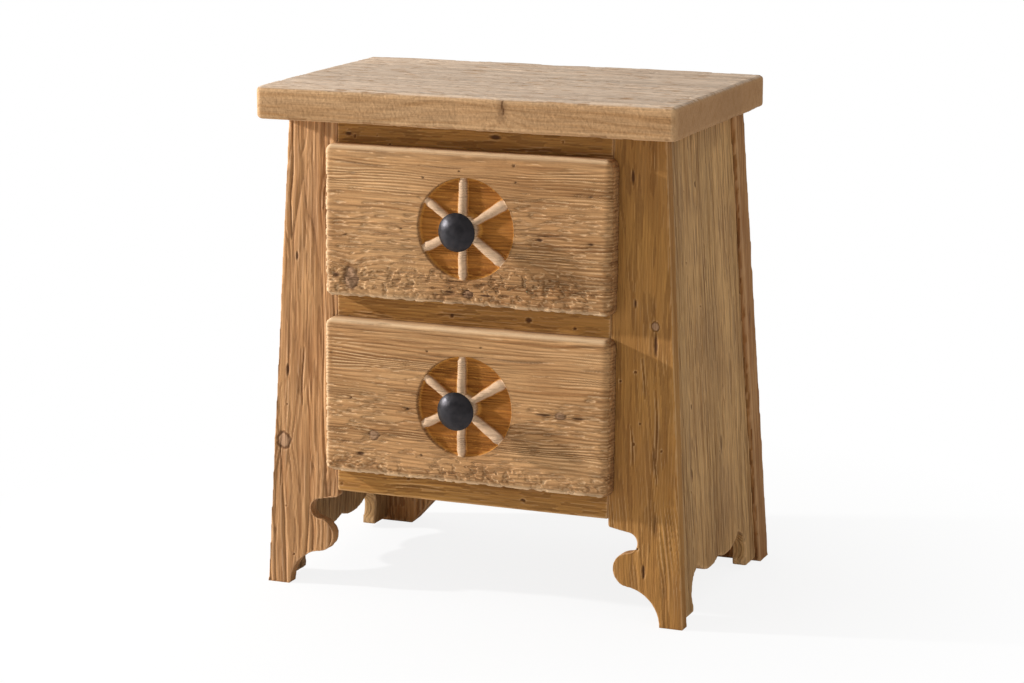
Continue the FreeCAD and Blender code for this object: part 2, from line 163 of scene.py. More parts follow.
def crackMarks(u, v, look, rng):
    # thin cracks that follow the grain
    crack = np.zeros_like(u)
    for _ in range(look["cracks"]):
        startU = rng.uniform(u.min(), u.max())
        startV = rng.uniform(v.min(), v.max())
        length = rng.uniform(*look["crackLength"])
        width = rng.uniform(*look["crackWidth"])
        along = (u - startU) / length
        wander = startV + 1.6 * np.sin(u / 21 + startV)
        taper = np.clip(1 - (2 * np.abs(along)) ** 2, 0, 1)
        opened = smoothStep(width + 0.5, width * 0.3, np.abs(v - wander))
        crack = np.maximum(crack, opened * taper ** 0.5)
    return crack


def wormMarks(u, v, look, rng):
    hole = np.zeros_like(u)
    for _ in range(look["wormHoles"]):
        holeU = rng.uniform(u.min(), u.max())
        holeV = rng.uniform(v.min(), v.max())
        size = rng.uniform(*look["wormSize"])
        hole = np.maximum(hole, smoothStep(size + 0.5, size - 0.4, np.hypot(u - holeU, v - holeV)))
    return hole


def woodSurface(u, v, look, knots):
    # returns how deep each place has worn, in millimetres, and the stains and painted shade for the
    # material
    rng = np.random.default_rng(look["seed"] + 500)
    across = v + look["waver"] * fractalNoise(u / 170, v / 55, look["seed"])
    across, plug, heartAndHoleShade = knotMarks(u, v, across, look, knots)
    ring = ringPlaces(u, v, across, look)
    fine = 0.5 + 0.5 * valueNoise(u / 38, across / 2.3, look["seed"] + 31)
    depth = brushedDepth(u, v, ring, fine, look)
    depth = depth + look["wobble"] * (0.5 + 0.5 * fractalNoise(u / 75, v / 48, look["seed"] + 41, 2))
    torn = tornMarks(u, v, across, look)
    depth += look["tornDepth"] * torn
    valley, slits = weatheredValleys(u, across, look)
    depth += look["ridgeDepth"] * (valley + slits)
    bites = hewnBites(u, v, look)
    depth += look["biteDepth"] * bites
    crack = crackMarks(u, v, look, rng)
    depth += look["crackDepth"] * crack
    hole = wormMarks(u, v, look, rng)
    depth += look["wormDepth"] * hole + look["heartDepth"] * heartAndHoleShade - 0.3 * look["brushDepth"] * plug
    # the cavity colour darkens torn marks, cracks, holes, bites and valleys: partly dirt, partly painted
    # shade in those hollows
    cavity = 0.8 * crack + hole + 0.45 * torn * (0.5 + 0.5 * fine) + 0.3 * bites
    cavity += look["valleyStainAndShade"] * smoothStep(0.45, 0.95, valley)
    stainsAndShading = {"ring": ring, "knot": plug, "heartAndHoleShade": heartAndHoleShade, "cavity": np.clip(cavity, 0, 1)}
    return np.maximum(depth, 0), stainsAndShading


# meshes

def storeAttributes(mesh, stainsAndShading):
    for key, values in stainsAndShading.items():
        layer = mesh.attributes.new(key, "FLOAT", "POINT")
        layer.data.foreach_set("value", np.asarray(values, dtype=np.float32))


def shadeSmooth(mesh):
    mesh.polygons.foreach_set("use_smooth", [True] * len(mesh.polygons))


def makeObject(name, points, faces, stainsAndShading=None):
    mesh = bpy.data.meshes.new(name)
    mesh.from_pydata(np.asarray(points) * mm, [], faces)
    mesh.validate()
    shadeSmooth(mesh)
    storeAttributes(mesh, stainsAndShading or {})
    mesh.update()
    piece = bpy.data.objects.new(name, mesh)
    bpy.context.scene.collection.objects.link(piece)
    return piece


def pointsOf(mesh):
    flat = np.empty(len(mesh.vertices) * 3, dtype=np.float32)
    mesh.vertices.foreach_get("co", flat)
    return flat.reshape(-1, 3).astype(float) / mm


def setPoints(mesh, points):
    mesh.vertices.foreach_set("co", (points * mm).ravel().astype(np.float32))
    mesh.update()


def normalsOf(mesh):
    flat = np.empty(len(mesh.vertices) * 3, dtype=np.float32)
    mesh.vertex_normals.foreach_get("vector", flat)
    return flat.reshape(-1, 3).astype(float)


def boxOf(node):
    low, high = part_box(node)
    return np.array(low) / mm, np.array(high) / mm


def pieceName(node):
    return node.title().replace("_", "")


def remeshedCopy(name, node, look):
    # a dense, even copy of a CAD piece with its edges softened
    work = bpy.data.objects.new(name, nodes[node].data.copy())
    bpy.context.scene.collection.objects.link(work)
    remesh = work.modifiers.new("dense", "REMESH")
    remesh.mode = "VOXEL"
    remesh.voxel_size = look["fineness"] * mm
    soften = work.modifiers.new("soft", "SMOOTH")
    soften.factor = 0.5
    soften.iterations = look["softness"]
    graph = bpy.context.evaluated_depsgraph_get()
    mesh = bpy.data.meshes.new_from_object(work.evaluated_get(graph))
    mesh.name = name
    work.modifiers.clear()
    old = work.data
    work.data = mesh
    bpy.data.meshes.remove(old)
    shadeSmooth(mesh)
    return work


def markRelief(mesh, rounds=4, full=0.22):
    # ridges get 1 and valleys -1, from how far each point stands off the smoothed surface
    count = len(mesh.vertices)
    ends = np.empty(len(mesh.edges) * 2, dtype=np.int32)
    mesh.edges.foreach_get("vertices", ends)
    first = ends[0::2]
    second = ends[1::2]
    neighbours = np.maximum(np.bincount(ends, minlength=count), 1)
    points = pointsOf(mesh)
    smoothed = points.copy()
    for _ in range(rounds):
        for axis in range(3):
            values = smoothed[:, axis]
            total = np.bincount(first, values[second], count) + np.bincount(second, values[first], count)
            smoothed[:, axis] = 0.5 * values + 0.5 * total / neighbours
    height = ((points - smoothed) * normalsOf(mesh)).sum(axis=1)
    storeAttributes(mesh, {"relief": np.clip(height / full, -1, 1)})


def wearWood(piece, node, grain, across, look):
    # sinks the surface along its normals and stores the stains and painted shade for the material
    mesh = piece.data
    points = pointsOf(mesh)
    normals = normalsOf(mesh)
    grain = np.array(grain) / np.linalg.norm(grain)
    across = np.array(across) / np.linalg.norm(across)
    deep = np.cross(grain, across)
    sideways = across + 0.6 * deep
    corner, _ = boxOf(node)
    knots = []
    for offset, halfU, halfV, kind in look["knots"]:
        place = corner + np.array(offset)
        knots.append((place @ grain, place @ sideways, halfU, halfV, kind))
    depth, stainsAndShading = woodSurface(points @ grain, points @ sideways, look, knots)
    endGrain = smoothStep(0.6, 0.9, np.abs(normals @ grain))
    standing = smoothStep(-0.5, -0.8, normals[:, 2]) * (points[:, 2] < look["footRim"])
    # the narrow sides, where boards meet, keep more of their size than the faces
    exposed = look["sideWear"] + (1 - look["sideWear"]) * np.abs(normals @ deep)
    depth = depth * exposed
    stainsAndShading["cavity"] = stainsAndShading["cavity"] * exposed
    depth = depth * (1 - 0.6 * endGrain) * (1 - standing)
    setPoints(mesh, points - normals * depth[:, None])
    stainsAndShading["end"] = endGrain
    storeAttributes(mesh, stainsAndShading)
    markRelief(mesh)


def blockMesh(name, low, high, counts, radius):
    # a closed box of small quads with rounded edges
    index = {}
    points = []
    faces = []

    def quad(*keys):
        for key in keys:
            if key not in index:
                index[key] = len(points)
                points.append(key)
        faces.append(tuple(index[key] for key in keys))

    nx, ny, nz = counts
    for i in range(nx):
        for j in range(ny):
            quad((i, j, 0), (i, j + 1, 0), (i + 1, j + 1, 0), (i + 1, j, 0))
            quad((i, j, nz), (i + 1, j, nz), (i + 1, j + 1, nz), (i, j + 1, nz))
    for i in range(nx):
        for k in range(nz):
            quad((i, 0, k), (i + 1, 0, k), (i + 1, 0, k + 1), (i, 0, k + 1))
            quad((i, ny, k), (i, ny, k + 1), (i + 1, ny, k + 1), (i + 1, ny, k))
    for j in range(ny):
        for k in range(nz):
            quad((0, j, k), (0, j, k + 1), (0, j + 1, k + 1), (0, j + 1, k))
            quad((nx, j, k), (nx, j + 1, k), (nx, j + 1, k + 1), (nx, j, k + 1))
    places = np.array(points, dtype=float) / np.array(counts)
    places = low + places * (high - low)
    inner = np.clip(places, low + radius, high - radius)
    offset = places - inner
    length = np.linalg.norm(offset, axis=1)
    outside = length > 1e-6
    places[outside] = inner[outside] + offset[outside] / length[outside, None] * radius
    return makeObject(name, places, faces)


# colours and shader nodes

def srgb(red, green, blue):
    def linear(value):
        value = value / 255
        return value / 12.92 if value <= 0.04045 else ((value + 0.055) / 1.055) ** 2.4
    return (linear(red), linear(green), linear(blue), 1.0)


def darker(colour, share):
    return tuple(value * share for value in colour[:3]) + (1.0,)


def newMaterial(name):
    material = bpy.data.materials.new(name)
    material.use_nodes = True
    material.node_tree.nodes.clear()
    return material, material.node_tree


def addNode(tree, kind, inputs=None, **settings):
    node = tree.nodes.new(kind)
    for key, value in settings.items():
        setattr(node, key, value)
    for key, value in (inputs or {}).items():
        if isinstance(value, bpy.types.NodeSocket):
            tree.links.new(value, node.inputs[key])
        else:
            node.inputs[key].default_value = value
    return node


def mixColours(tree, factor, first, second, blend="MIX"):
    inputs = {0: factor, 6: first, 7: second}
    return addNode(tree, "ShaderNodeMix", inputs, data_type="RGBA", blend_type=blend).outputs[2]


def mathNode(tree, operation, first, second=0.0):
    return addNode(tree, "ShaderNodeMath", {0: first, 1: second}, operation=operation).outputs[0]


def rangeNode(tree, value, low, high, toLow=0.0, toHigh=1.0):
    inputs = {"Value": value, "From Min": low, "From Max": high, "To Min": toLow, "To Max": toHigh}
    return addNode(tree, "ShaderNodeMapRange", inputs).outputs[0]


def objectPlace(tree):
    return addNode(tree, "ShaderNodeTexCoord").outputs["Object"]


def stretchedPlace(tree, place, scale):
    return addNode(tree, "ShaderNodeMapping", {"Vector": place, "Scale": scale}).outputs[0]


def noiseNode(tree, place, scale, detail, roughness=0.5):
    inputs = {"Vector": place, "Scale": scale, "Detail": detail, "Roughness": roughness}
    return addNode(tree, "ShaderNodeTexNoise", inputs).outputs["Fac"]


def shaded(tree, colour, shade):
    # a colour made darker or lighter by a grey value
    grey = addNode(tree, "ShaderNodeCombineColor", {0: shade, 1: shade, 2: shade}).outputs[0]
    return mixColours(tree, 1.0, colour, grey, "MULTIPLY")


def stain(tree, name):
    return addNode(tree, "ShaderNodeAttribute", attribute_name=name).outputs["Fac"]


def stained(tree, colour, name, strength, other):
    return mixColours(tree, mathNode(tree, "MULTIPLY", stain(tree, name), strength), colour, other)


def showShader(tree, kind, inputs):
    shader = addNode(tree, kind, inputs)
    addNode(tree, "ShaderNodeOutputMaterial", {"Surface": shader.outputs[0]})


# the wood of every board

baseLook = {
    "light": srgb(208, 158, 108),
    "dark": srgb(160, 104, 56),
    "aged": srgb(178, 128, 84),
    "endGrain": srgb(178, 136, 96),
    "pale": srgb(222, 190, 150),
    "plug": srgb(168, 132, 102),
    "heartAndHoleShade": srgb(74, 42, 22),
    "cavity": srgb(92, 54, 26),
    "fibre": (0.74, 1.14),      # how dark and light the fibres get
    "lineStrength": 0.62,       # how dark the ring lines are
    "lineBump": 0.3,
    "bump": 0.55,
    "bumpHeight": 0.0009,       # metres
    "rough": 0.72,
    "shine": 0.18,
    "grain": "X",
    "bands": "Z",
    "worn": True,
    "ringSpread": 1.0,
    "sideWear": 0.3,            # wear left on the narrow sides
    "footBrush": 0.0,           # extra brushing near the floor
    "footRim": 1.5,             # below this height a foot's underside keeps its size
    "tornLength": 24,
    "tornWidth": 3.4,
    "tornLine": 1000,
    "tornElsewhere": 0.4,
    "tornStart": 0.18,          # lower values tear more of the surface
    "tornEdge": 0.24,           # higher values give the torn marks softer edges
    "ridgeDepth": 0.0,
    "ridgeWidth": 8,
    "ridgeLength": 260,
    "valleyStainAndShade": 0.0,
    "ridgePale": 0.3,
    "biteDepth": 0.0,
    "biteLine": 0,
    "biteSize": 9,
    "crackLength": (25, 90),
    "crackWidth": (0.5, 1.1),
    "crackDepth": 1.3,
    "wormSize": (0.6, 1.5),
    "wormDepth": 1.4,
    "heartDepth": 0.9,
}


def ringLines(tree, along, look):
    # lines from the stored rings on a worn board, and straight bands on a plain one
    if look["worn"]:
        wave = mathNode(tree, "SINE", mathNode(tree, "MULTIPLY", stain(tree, "ring"), 2 * math.pi))
        return rangeNode(tree, wave, -0.2, 1.0)
    inputs = {"Vector": along, "Scale": 34.0, "Distortion": 5.0, "Detail": 2.0, "Detail Scale": 0.6}
    waves = addNode(tree, "ShaderNodeTexWave", inputs, wave_type="BANDS", bands_direction=look["bands"])
    return rangeNode(tree, waves.outputs["Fac"], 0.35, 1.0)


def wornColour(tree, colour, speck, look):
    # ridges are lighter and valleys darker: partly wear, partly painted highlight and painted shade from
    # the relief. Torn marks, cracks and holes are dark, partly dirt and partly painted shade, and knots
    # are dark
    tone = rangeNode(tree, stain(tree, "tone"), -1.0, 1.0, 0.74, 1.22)
    relief = rangeNode(tree, stain(tree, "relief"), -1.0, 1.0, 0.70, 1.14)
    colour = shaded(tree, colour, mathNode(tree, "MULTIPLY", tone, relief))
    rubbedAndHighlit = rangeNode(tree, stain(tree, "relief"), 0.2, 1.0, 0.0, look["ridgePale"])
    colour = mixColours(tree, rubbedAndHighlit, colour, look["pale"])
    # on the drawer fronts the end colour is the pale of the rubbed edges, partly wear and partly painted
    # highlight on the edges facing the light
    colour = stained(tree, colour, "end", 0.55, look["endGrain"])
    colour = stained(tree, colour, "knot", 0.8, look["plug"])
    pits = mathNode(tree, "MULTIPLY", stain(tree, "cavity"), rangeNode(tree, speck, 0.3, 0.7, 0.6, 1.0))
    colour = mixColours(tree, mathNode(tree, "MULTIPLY", pits, 0.85), colour, look["cavity"])
    return stained(tree, colour, "heartAndHoleShade", 0.9, look["heartAndHoleShade"])


def woodMaterial(name, look):
    material, tree = newMaterial(name)
    place = objectPlace(tree)
    stretch = [1.0, 1.0, 1.0]
    stretch["XYZ".index(look["grain"])] = 0.035
    along = stretchedPlace(tree, place, stretch)
    fibre = noiseNode(tree, along, 620.0, 4.0, 0.65)
    streak = noiseNode(tree, along, 95.0, 3.0, 0.6)
    blotch = noiseNode(tree, place, 9.0, 3.0)
    speck = noiseNode(tree, place, 260.0, 3.0, 0.7)

    lines = ringLines(tree, along, look)
    lines = mathNode(tree, "MULTIPLY", lines, rangeNode(tree, streak, 0.35, 0.65, 0.25, 1.0))
    lineShare = mathNode(tree, "MULTIPLY", lines, look["lineStrength"])
    colour = mixColours(tree, lineShare, look["light"], look["dark"])
    clouded = mixColours(tree, 0.55, colour, look["aged"])
    colour = mixColours(tree, rangeNode(tree, blotch, 0.4, 0.68), colour, clouded)
    colour = mixColours(tree, rangeNode(tree, streak, 0.5, 0.72, 0.0, 0.5), colour, look["dark"])
    colour = shaded(tree, colour, rangeNode(tree, fibre, 0.3, 0.7, look["fibre"][0], look["fibre"][1]))
    if look["worn"]:
        colour = wornColour(tree, colour, speck, look)

    height = mathNode(tree, "MULTIPLY", fibre, 0.6)
    height = mathNode(tree, "ADD", height, mathNode(tree, "MULTIPLY", speck, 0.35))
    height = mathNode(tree, "ADD", height, mathNode(tree, "MULTIPLY", lines, -look["lineBump"]))
    inputs = {"Height": height, "Strength": look["bump"], "Distance": look["bumpHeight"]}
    bump = addNode(tree, "ShaderNodeBump", inputs)
    rough = rangeNode(tree, streak, 0.3, 0.7, look["rough"] - 0.08, look["rough"] + 0.1)
    showShader(tree, "ShaderNodeBsdfPrincipled", {
        "Base Color": colour,
        "Roughness": rough,
        "Specular IOR Level": look["shine"],
        "Normal": bump.outputs[0],
    })
    return material


def woodSockets(tree):
    # the sockets that take the colour and the bump's height, for a material that adds to the wood
    shader = next(node for node in tree.nodes if node.type == "BSDF_PRINCIPLED")
    bump = next(node for node in tree.nodes if node.type == "BUMP")
    return shader.inputs["Base Color"], bump.inputs["Height"]


def dress(piece, material):
    piece.data.materials.clear()
    piece.data.materials.append(material)


def addTone(piece, values):
    storeAttributes(piece.data, {"tone": values})


def finish(piece, node, body):
    made.add(node)
    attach(piece, body)
    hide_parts(node)


# top slab. A knot has its offset from the board's low corner, half its length along the grain,
# half its width and its kind.

topLook = dict(
    baseLook, slot="top_wood", seed=11, ringWidth=5.0, waver=5.0, brushDepth=0.5, wobble=0.7,
    tornDepth=0.55, tornLength=16, tornWidth=2.4, cracks=22, wormHoles=26, sideWear=0.12,
    rough=0.85, shine=0.08,
    light=srgb(202, 160, 116), dark=srgb(164, 120, 76), aged=srgb(180, 138, 96),
    paleUpper=srgb(246, 232, 216),
    paleUpperShare=0.47,      # how much of the pale colour the upper face gets
    grid=(300, 122, 30),   # quads along, across and through the slab
    edgeRound=6.0,
    plankWidth=79,         # width of the boards glued up into the top
    plankSway=9,           # how far their seams wander
    plankTone=0.3,         # how much they differ in colour
    knots=[((300, 0, 32), 1.6, 5, "hole"), ((302, 0, 24), 1.2, 4, "hole"),
           ((300, 0, 27), 8, 12, "shade"), ((51, 241, 39), 9, 3, "hole"),
           ((202, 144, 39), 14, 3, "shade"), ((197, 20, 39), 7, 2.5, "hole"),
           ((416, 164, 39), 24, 5, "shade")],
)


def makeTop():
    node = "top_slab"
    look = topLook
    low, high = boxOf(node)
    piece = blockMesh("topSlab", low, high, look["grid"], look["edgeRound"])
    facing = normalsOf(piece.data)
    wearWood(piece, node, (1, 0, 0), (0, 1, 0), look)
    points = pointsOf(piece.data)
    sway = look["plankSway"] * np.sin(points[:, 0] / 300)
    planks = np.floor((points[:, 1] - low[1] + sway) / look["plankWidth"])
    addTone(piece, look["plankTone"] * np.sin(planks * 2.3 + 0.6))
    storeAttributes(piece.data, {"paleUpper": smoothStep(0.35, 0.95, facing[:, 2]),
                             "sawn": smoothStep(0.5, 0.9, -facing[:, 1])})
    dress(piece, topMaterial("topWood", look))
    finish(piece, node, "carcass")


def topMaterial(name, look):
    material = woodMaterial(name, look)
    tree = material.node_tree
    colourInput, heightInput = woodSockets(tree)
    colour = colourInput.links[0].from_socket
    height = heightInput.links[0].from_socket
    place = objectPlace(tree)
    # dark rubbed-in flecks along the grain, and a paler, whiter upper face
    fleck = noiseNode(tree, stretchedPlace(tree, place, (0.11, 1.0, 0.5)), 330.0, 2.0)
    band = noiseNode(tree, stretchedPlace(tree, place, (0.05, 1.0, 0.5)), 58.0, 3.0)
    pale = mixColours(tree, look["paleUpperShare"], colour, look["paleUpper"])
    pale = shaded(tree, pale, rangeNode(tree, band, 0.36, 0.64, 0.84, 1.07))
    pale = mixColours(tree, rangeNode(tree, fleck, 0.57, 0.68, 0.0, 0.75), pale, look["dark"])
    colour = mixColours(tree, stain(tree, "paleUpper"), colour, pale)
    # slanted saw marks on the front edge
    inputs = {"Vector": place, "Scale": 46.0, "Distortion": 7.0, "Detail": 2.0, "Detail Scale": 2.0}
    marks = addNode(tree, "ShaderNodeTexWave", inputs, wave_type="BANDS", bands_direction="DIAGONAL")
    grit = noiseNode(tree, place, 330.0, 2.0)
    chatter = mathNode(tree, "ADD", mathNode(tree, "MULTIPLY", marks.outputs["Fac"], 0.35),
                       mathNode(tree, "MULTIPLY", grit, 1.1))
    chatter = mathNode(tree, "MULTIPLY", chatter, stain(tree, "sawn"))
    tree.links.new(mathNode(tree, "ADD", height, chatter), heightInput)
    sawn = shaded(tree, colour, rangeNode(tree, grit, 0.38, 0.62, 0.93, 1.05))
    tree.links.new(mixColours(tree, stain(tree, "sawn"), colour, sawn), colourInput)
    return material


# stiles

stileLook = dict(
    baseLook, slot="stile_wood", grain="Z", ringWidth=5.0, waver=5.0, wobble=0.6,
    fineness=1.15, softness=4,
    grainLean=0.16,   # how far the grain leans, as a share of the board's spread
)
stileLooks = {
    "front_stile_left": dict(
        stileLook, seed=21, brushDepth=0.6, tornDepth=0.3, tornLength=60, ridgeDepth=1.8,
        ridgeWidth=11, valleyStainAndShade=0.38, cracks=6, wormHoles=5, lineBump=0.6,
        light=srgb(200, 150, 100), dark=srgb(146, 94, 50), aged=srgb(172, 122, 78),
        pale=srgb(232, 196, 158),
        knots=[((23, 2, 171), 9, 8, "plug"), ((41, 8, 389), 7, 2, "hole"),
               ((28, 5, 255), 9, 2.5, "hole"), ((9, 2, 62), 6, 3, "shade")],
    ),
    "front_stile_right": dict(
        stileLook, seed=27, ringWidth=3.4, lineStrength=0.42, brushDepth=0.32, tornDepth=0.22,
        tornLength=50, footBrush=2.2, cracks=4, wormHoles=5,
        light=srgb(186, 134, 70), dark=srgb(142, 92, 40), aged=srgb(164, 114, 62),
        knots=[((23, 13, 503), 11, 2.2, "hole"), ((28, 10, 364), 6, 1.8, "hole"),
               ((52, 9, 340), 5, 4.4, "plug"), ((53, 8, 320), 17, 2.6, "hole"),
               ((50, 9, 360), 14, 2.0, "shade"), ((36, 6, 230), 2, 1.6, "hole"),
               ((52, 5, 190), 14, 3.5, "shade"), ((56, 3, 115), 16, 4.5, "shade"),
               ((43, 2, 62), 12, 2.2, "hole")],
    ),
}
backStileLook = dict(
    stileLook, slot="back_stile_wood", brushDepth=0.6, sideWear=0.1, tornDepth=0.4, cracks=4,
    wormHoles=6, fineness=1.9, softness=5,
    light=srgb(188, 138, 84), dark=srgb(132, 80, 40), aged=srgb(156, 100, 54),
)
backStileSeeds = {"back_stile_left": 61, "back_stile_right": 67}
# the two holes near the top are painted shade on shallow dents, standing for sawn-off notches
backStileKnots = [(526, 3, 5, "hole"), (510, 2, 5, "hole"), (36, 3, 9, "hole"), (300, 14, 3, "shade")]
backStileKnotInset = 6    # how far those knots lie from the outer edge
backStileKnotDepth = 10   # and from the front of the board


def makeStile(node, look):
    low, high = boxOf(node)
    side = 1 if high[0] > 0 else -1
    piece = remeshedCopy(pieceName(node), node, look)
    # the grain follows the middle of the splayed board
    spread = high[0] - low[0]
    rise = high[2] - low[2]
    lean = side * spread * look["grainLean"]
    wearWood(piece, node, (-lean, 0, rise), (1, 0, lean / rise), look)
    points = pointsOf(piece.data)
    addTone(piece, 0.25 * valueNoise(points[:, 2] / 210, points[:, 0] / 24, look["seed"]))
    dress(piece, woodMaterial(node + "Wood", look))
    finish(piece, node, "carcass")


def makeBackStile(node):
    low, high = boxOf(node)
    edge = high[0] - low[0] - backStileKnotInset if high[0] > 0 else backStileKnotInset
    knots = [((edge, backStileKnotDepth, up), halfU, halfV, kind)
             for up, halfU, halfV, kind in backStileKnots]
    makeStile(node, dict(backStileLook, seed=backStileSeeds[node], knots=knots))


# side panels, glued up from upright staves

panelLook = dict(
    baseLook, slot="panel_wood", grain="Z", ringWidth=3.2, waver=4.0, wobble=0.5, brushDepth=0.55,
    tornDepth=0.35, tornLength=60, cracks=8, wormHoles=10, fineness=1.9, softness=4,
    lineStrength=0.85, lineBump=0.8, fibre=(0.62, 1.14),
    light=srgb(224, 177, 117), dark=srgb(145, 98, 51), aged=srgb(184, 141, 94),
    staveTones=(-0.3, 0.25, -0.1, 0.5, 0.15),   # one for each stave, from the front
    knots=[((30, 106, 477), 5, 2.2, "hole"), ((35, 59, 232), 4, 2, "hole"),
           ((37, 57, 189), 11, 3, "shade"), ((39, 53, 155), 9, 2.2, "hole"),
           ((38, 159, 167), 16, 3, "hole")],
)
panelSeeds = {"left": 65, "right": 71}
panelPaintedShades = {"left": 0.68, "right": 1.0}   # painted shade: the left-hand panel, which the key light strikes, is coloured darker so that it doesn't glare


def makePanel(side):
    node = "side_panel_" + side
    # painted shade: the left-hand panel's colours are made darker against the key light
    shade = panelPaintedShades[side]
    colours = {key: darker(panelLook[key], shade) for key in ("light", "dark", "aged", "pale")}
    look = dict(panelLook, seed=panelSeeds[side], **colours)
    low, high = boxOf(node)
    piece = remeshedCopy(pieceName(node), node, look)
    wearWood(piece, node, (0, 0, 1), (0, 1, 0), look)
    points = pointsOf(piece.data)
    tones = np.array(look["staveTones"])
    width = (high[1] - low[1]) / len(tones)
    stave = np.floor((points[:, 1] - low[1]) / width).astype(int)
    addTone(piece, tones[stave % len(tones)])
    dress(piece, woodMaterial(node + "Wood", look))
    finish(piece, node, "carcass")


# rails between the front stiles

railLook = dict(
    baseLook, slot="rail_wood", ringWidth=4.0, waver=3.0, wobble=0.3, brushDepth=0.4,
    tornDepth=0.3, cracks=4, wormHoles=4, fineness=1.3, softness=2, sideWear=0.1,
    light=srgb(190, 138, 72), dark=srgb(140, 90, 40), aged=srgb(162, 112, 56),
)
railLooks = {
    "top": dict(
        railLook, seed=71,
        knots=[((193, 0, 22), 9, 3.4, "hole"), ((14, 0, 17), 5, 2.5, "hole")],
    ),
    "middle": dict(
        railLook, seed=73,
        knots=[((235, 0, 19), 5, 4, "hole"), ((142, 0, 17), 3, 2.5, "hole"),
               ((290, 0, 14), 3, 2, "hole")],
    ),
    "bottom": dict(
        railLook, seed=79,
        knots=[((60, 0, 20), 4, 2, "shade"), ((230, 0, 12), 3, 2, "hole")],
    ),
}


def makeRail(level):
    node = "front_" + level + "_rail"
    look = railLooks[level]
    piece = remeshedCopy(pieceName(node), node, look)
    wearWood(piece, node, (1, 0, 0), (0, 0, 1), look)
    points = pointsOf(piece.data)
    addTone(piece, 0.2 * valueNoise(points[:, 0] / 120, points[:, 2] / 20, look["seed"]))
    dress(piece, woodMaterial(node + "Wood", look))
    finish(piece, node, "carcass")


# drawer fronts with their carved rosette. A knot has its place from the middle of the board.

frontLook = dict(
    baseLook, slot="drawer_front_wood", ringWidth=4.2, waver=2.6, wobble=1.1, brushDepth=0.7,
    tornDepth=1.2, tornLength=17, tornWidth=2.5, tornElsewhere=0.3, tornStart=0.12, tornEdge=0.5,
    biteDepth=1.5, biteSize=6.5, cracks=10, wormHoles=5, lineStrength=0.55, lineBump=0.95,
    ringSpread=1.6, bump=1.0, ridgePale=0.6, fibre=(0.64, 1.2),
    light=srgb(209, 160, 108), dark=srgb(147, 95, 48), aged=srgb(178, 125, 75),
    pale=srgb(240, 204, 158), cavity=srgb(98, 58, 26),
    endGrain=srgb(244, 212, 170),   # here it colours the rubbed edges, partly wear and partly painted highlight where they face the light
    corner=9,
    edgeWide=9.5,                   # the worn bevel, across the face
    edgeDeep=6,                     # and down the edge
)
frontLooks = {
    "upper": dict(
        frontLook, seed=51, tornLine=30, biteLine=-52,
        knots=[(3, -73, 6, 4, "plug"), (-20, -72, 8, 1.8, "hole"), (25, -73, 9, 1.8, "hole"),
               (-140, -64, 8, 12, "plug"), (-159, -62, 6, 4, "hole"), (88, -6, 6, 2.5, "hole"),
               (149, -7, 5, 2, "hole"), (148, 45, 4, 1.6, "hole"), (-78, -4, 1.8, 1.6, "hole"),
               (-51, 55, 1.5, 1.4, "hole"), (60, 56, 1.5, 1.4, "hole"), (-137, 55, 5, 2.4, "shade"),
               (-147, -15, 1.8, 1.6, "hole")],
    ),
    "lower": dict(
        frontLook, seed=57, tornLine=24, biteLine=-62,
        knots=[(116, 0, 6, 4, "plug"), (96, 0, 12, 1.8, "hole"), (137, -1, 10, 1.6, "hole"),
               (-128, -65, 6, 3, "hole"), (-111, -42, 6, 5, "plug"), (-140, -1, 1.8, 2, "hole"),
               (-70, -8, 2, 2, "hole"), (-52, -60, 2, 1.8, "hole")],
    ),
}
rosetteLook = {
    "radius": 57.5,
    "depth": 7.0,
    "hub": 15.0,
    "hubDrop": 0.4,       # how far the hub lies below the face
    "spokeDrop": 0.9,     # how far the spokes lie below the face
    "spokeRound": 2.4,    # how far their sides fall away
    # each spoke, clockwise from the top: turn off its true angle, width, and how much wider it
    # gets towards the rim
    "spokes": ((0, 10.5, -0.2), (2, 9.5, 0.8), (-6, 11, 0.5), (0, 9.5, 0.2), (-3, 9, 0.5), (-5, 8.5, 0.4)),
    "starX": -4.5,        # the spokes meet a little beside the middle of the disc
    "starZ": -1.0,
    "pale": srgb(230, 198, 166),
    "paleShare": 0.6,     # how much of the pale colour the spokes get
    "floorStain": srgb(230, 196, 124),
}
frontGrid = {
    "stations": 880,      # points on each ring of the mesh
    "inside": 28,         # rings on the disc, from the first radius to the last
    "firstInside": 1.5,
    "lastInside": 56.2,
    "wallFoot": 56.9,     # the disc's wall stands from this radius
    "wallSpread": 0.2,    # to this far outside the disc
    "outside": 62,        # rings on the board round it
    "crowding": 1.15,     # higher values bring those rings closer to the disc
    "bevelTurns": (12, 24, 37, 50, 63, 76, 90),
    "edgeShares": (0.25, 0.5, 0.75, 1.0),
}


